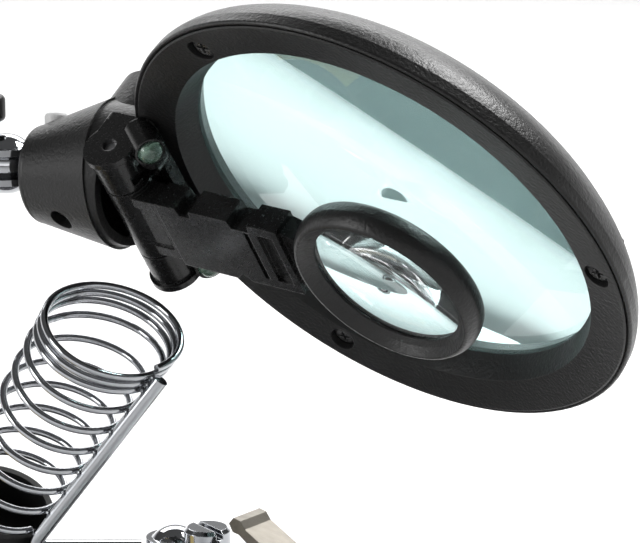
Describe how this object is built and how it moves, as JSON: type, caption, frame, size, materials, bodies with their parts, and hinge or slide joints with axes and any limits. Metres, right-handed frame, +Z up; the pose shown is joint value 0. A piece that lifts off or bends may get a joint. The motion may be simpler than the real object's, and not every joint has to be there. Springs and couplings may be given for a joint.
{
  "type": "helping hands clamp",
  "caption": "Weighted bench stand with a lit magnifier on a ball-jointed arm, a flip-out small lens, sprung clips on a cross bar and a coiled iron holder.",
  "frame": {"origin": "centre of the base, on the bench surface under the rubber pad", "axes": "+Z up, +X to the user's right along the cross bar, the user sits towards -Y"},
  "size_m": [0.2895, 0.1346, 0.1748],
  "materials": {
    "painted_iron": "satin black enamel on cast iron",
    "rubber": "moulded",
    "steel": "zinc plated",
    "dark_screw": "black oxide",
    "tray_tin": "black painted sheet",
    "sponge": "cellulose sponge",
    "chrome": "bright plated",
    "knob_plastic": "moulded black",
    "black_plastic": "fine spark texture",
    "arm_plastic": "semi-gloss black",
    "grey_plastic": "moulded grey",
    "lens_glass": "polished",
    "loupe_glass": "polished",
    "lamp": "clear epoxy",
    "brass": "spring strip",
    "nickel": "dull nickel plated"
  },
  "bodies": {
    "base": {"base_casting": "painted_iron", "rubber_pad": "rubber", "sponge_tray": "tray_tin", "column_post": "chrome", "column_nut": "steel"},
    "sponge": {"cleaning_sponge": "sponge"},
    "iron_stand": {"iron_coil": "chrome", "stand_rod": "chrome", "coil_cup": "knob_plastic"},
    "stand_nut": {"stand_nut": "chrome"},
    "cross_bar": {"cross_hub": "chrome", "cross_rods": "chrome"},
    "hub_screw": {"hub_thumb_screw": "chrome"},
    "lower_clamp": {"lower_clamp_top_plate": "chrome", "lower_clamp_bottom_plate": "chrome"},
    "lower_knob": {"lower_clamp_screw": "steel", "lower_clamp_knob": "knob_plastic"},
    "arm": {"arm_rod": "chrome"},
    "upper_clamp": {"upper_clamp_top_plate": "chrome", "upper_clamp_bottom_plate": "chrome"},
    "upper_knob": {"upper_clamp_screw": "steel", "upper_clamp_knob": "knob_plastic"},
    "stud": {"neck_stud": "chrome"},
    "head": {"lower_bezel": "black_plastic", "upper_shell": "black_plastic", "neck_cone": "black_plastic", "main_lens": "lens_glass", "bezel_screws": "dark_screw", "neck_screw": "dark_screw", "hinge_screw": "dark_screw", "button_cell": "steel", "hinge_pin": "steel", "battery_contact": "brass", "hinge_base": "arm_plastic", "led_lamps": "lamp"},
    "battery_cap": {"battery_cap": "black_plastic"},
    "switch": {"switch_button": "grey_plastic"},
    "loupe": {"flip_bracket": "arm_plastic", "lens_arm": "arm_plastic", "loupe_ring": "black_plastic", "loupe_retainer": "black_plastic", "loupe_lens": "loupe_glass"},
    "right_clamp": {"right_clamp_top_plate": "chrome", "right_clamp_bottom_plate": "chrome"},
    "right_nut": {"right_slotted_nut": "chrome"},
    "right_clip": {"right_ball_stem": "chrome", "right_lower_jaw": "nickel", "right_jaw_pin": "steel", "right_jaw_spring": "steel"},
    "right_jaw": {"right_upper_jaw": "nickel"},
    "left_clamp": {"left_clamp_top_plate": "chrome", "left_clamp_bottom_plate": "chrome"},
    "left_nut": {"left_slotted_nut": "chrome"},
    "left_clip": {"left_ball_stem": "chrome", "left_lower_jaw": "nickel", "left_jaw_pin": "steel", "left_jaw_spring": "steel"},
    "left_jaw": {"left_upper_jaw": "nickel"}
  },
  "joints": [
    {"name": "sponge_lift", "type": "slide", "parent": "base", "child": "sponge", "axis": [0, 0, 1], "range_m": [0, 0.012]},
    {"name": "iron_stand_swivel", "type": "hinge", "parent": "base", "child": "iron_stand", "pos_m": [0.012, -0.022, 0.02], "axis": [0, 0, 1], "range_deg": [-60, 0]},
    {"name": "stand_nut_turn", "type": "hinge", "parent": "base", "child": "stand_nut", "pos_m": [0.012, -0.022, 0.02], "axis": [0, 0, 1], "range_deg": [0, 360]},
    {"name": "cross_bar_swivel", "type": "hinge", "parent": "base", "child": "cross_bar", "pos_m": [-0.014, 0.017, 0.045], "axis": [0, 0, 1], "range_deg": [-25, 25]},
    {"name": "hub_screw_turn", "type": "hinge", "parent": "cross_bar", "child": "hub_screw", "pos_m": [-0.014, 0.032, 0.045], "axis": [0, 1, 0], "range_deg": [0, 360]},
    {"name": "lower_clamp_tilt", "type": "hinge", "parent": "base", "child": "lower_clamp", "pos_m": [-0.014, 0.017, 0.059], "axis": [1, 0, 0], "range_deg": [-20, 0]},
    {"name": "lower_knob_turn", "type": "hinge", "parent": "lower_clamp", "child": "lower_knob", "pos_m": [-0.014, 0.017, 0.0725], "axis": [-1, 0, 0], "range_deg": [0, 360]},
    {"name": "arm_tilt", "type": "hinge", "parent": "lower_clamp", "child": "arm", "pos_m": [-0.014, 0.017, 0.086], "axis": [1, 0, 0], "range_deg": [-25, 0]},
    {"name": "upper_clamp_pan", "type": "hinge", "parent": "arm", "child": "upper_clamp", "pos_m": [-0.00048, 0.017, 0.13321], "axis": [0, 0, 1], "range_deg": [0, 30]},
    {"name": "upper_knob_turn", "type": "hinge", "parent": "upper_clamp", "child": "upper_knob", "pos_m": [0.01141, 0.01062, 0.13321], "axis": [0, 0, 1], "range_deg": [0, 360]},
    {"name": "head_swivel", "type": "hinge", "parent": "upper_clamp", "child": "stud", "pos_m": [0.02331, 0.00424, 0.13321], "axis": [0, 0, 1], "range_deg": [0, 30]},
    {"name": "head_roll", "type": "hinge", "parent": "stud", "child": "head", "pos_m": [0.02331, 0.00424, 0.13321], "axis": [-0.9084, 0.4086, -0.0891], "range_deg": [-15, 15]},
    {"name": "battery_cap_turn", "type": "hinge", "parent": "head", "child": "battery_cap", "pos_m": [0.05777, 0.0017, 0.14302], "axis": [-0.4985, -0.6092, -0.6168], "range_deg": [0, 30]},
    {"name": "switch_press", "type": "slide", "parent": "head", "child": "switch", "axis": [-0.0014, -0.216, -0.9764], "range_m": [0, 0.0008], "stiffness_N_per_m": 1000, "springref_m": -0.001},
    {"name": "loupe_flip", "type": "hinge", "parent": "head", "child": "loupe", "pos_m": [0.05291, -0.0176, 0.1279], "axis": [0.317, 0.5341, -0.7838], "range_deg": [0, 40]},
    {"name": "right_clamp_pan", "type": "hinge", "parent": "cross_bar", "child": "right_clamp", "pos_m": [0.0566, 0.017, 0.045], "axis": [0, 0, 1], "range_deg": [-40, 40]},
    {"name": "right_nut_turn", "type": "hinge", "parent": "right_clamp", "child": "right_nut", "pos_m": [0.064, 0.0062, 0.045], "axis": [0, 0, 1], "range_deg": [0, 360]},
    {"name": "right_clip_pan", "type": "hinge", "parent": "right_clamp", "child": "right_clip", "pos_m": [0.0714, -0.0046, 0.045], "axis": [0, 0, 1], "range_deg": [-40, 40]},
    {"name": "right_jaw_open", "type": "hinge", "parent": "right_clip", "child": "right_jaw", "pos_m": [0.0882, -0.0172, 0.0456], "axis": [-0.6, -0.8, 0], "range_deg": [0, 15], "stiffness_Nm_per_rad": 0.1, "springref_deg": -28.65},
    {"name": "left_clamp_pan", "type": "hinge", "parent": "cross_bar", "child": "left_clamp", "pos_m": [-0.0846, 0.017, 0.045], "axis": [0, 0, 1], "range_deg": [-40, 40]},
    {"name": "left_nut_turn", "type": "hinge", "parent": "left_clamp", "child": "left_nut", "pos_m": [-0.092, 0.0062, 0.045], "axis": [0, 0, 1], "range_deg": [0, 360]},
    {"name": "left_clip_pan", "type": "hinge", "parent": "left_clamp", "child": "left_clip", "pos_m": [-0.0994, -0.0046, 0.045], "axis": [0, 0, 1], "range_deg": [-40, 40]},
    {"name": "left_jaw_open", "type": "hinge", "parent": "left_clip", "child": "left_jaw", "pos_m": [-0.1162, -0.0172, 0.0456], "axis": [-0.6, 0.8, 0], "range_deg": [0, 15], "stiffness_Nm_per_rad": 0.1, "springref_deg": -28.65}
  ]
}
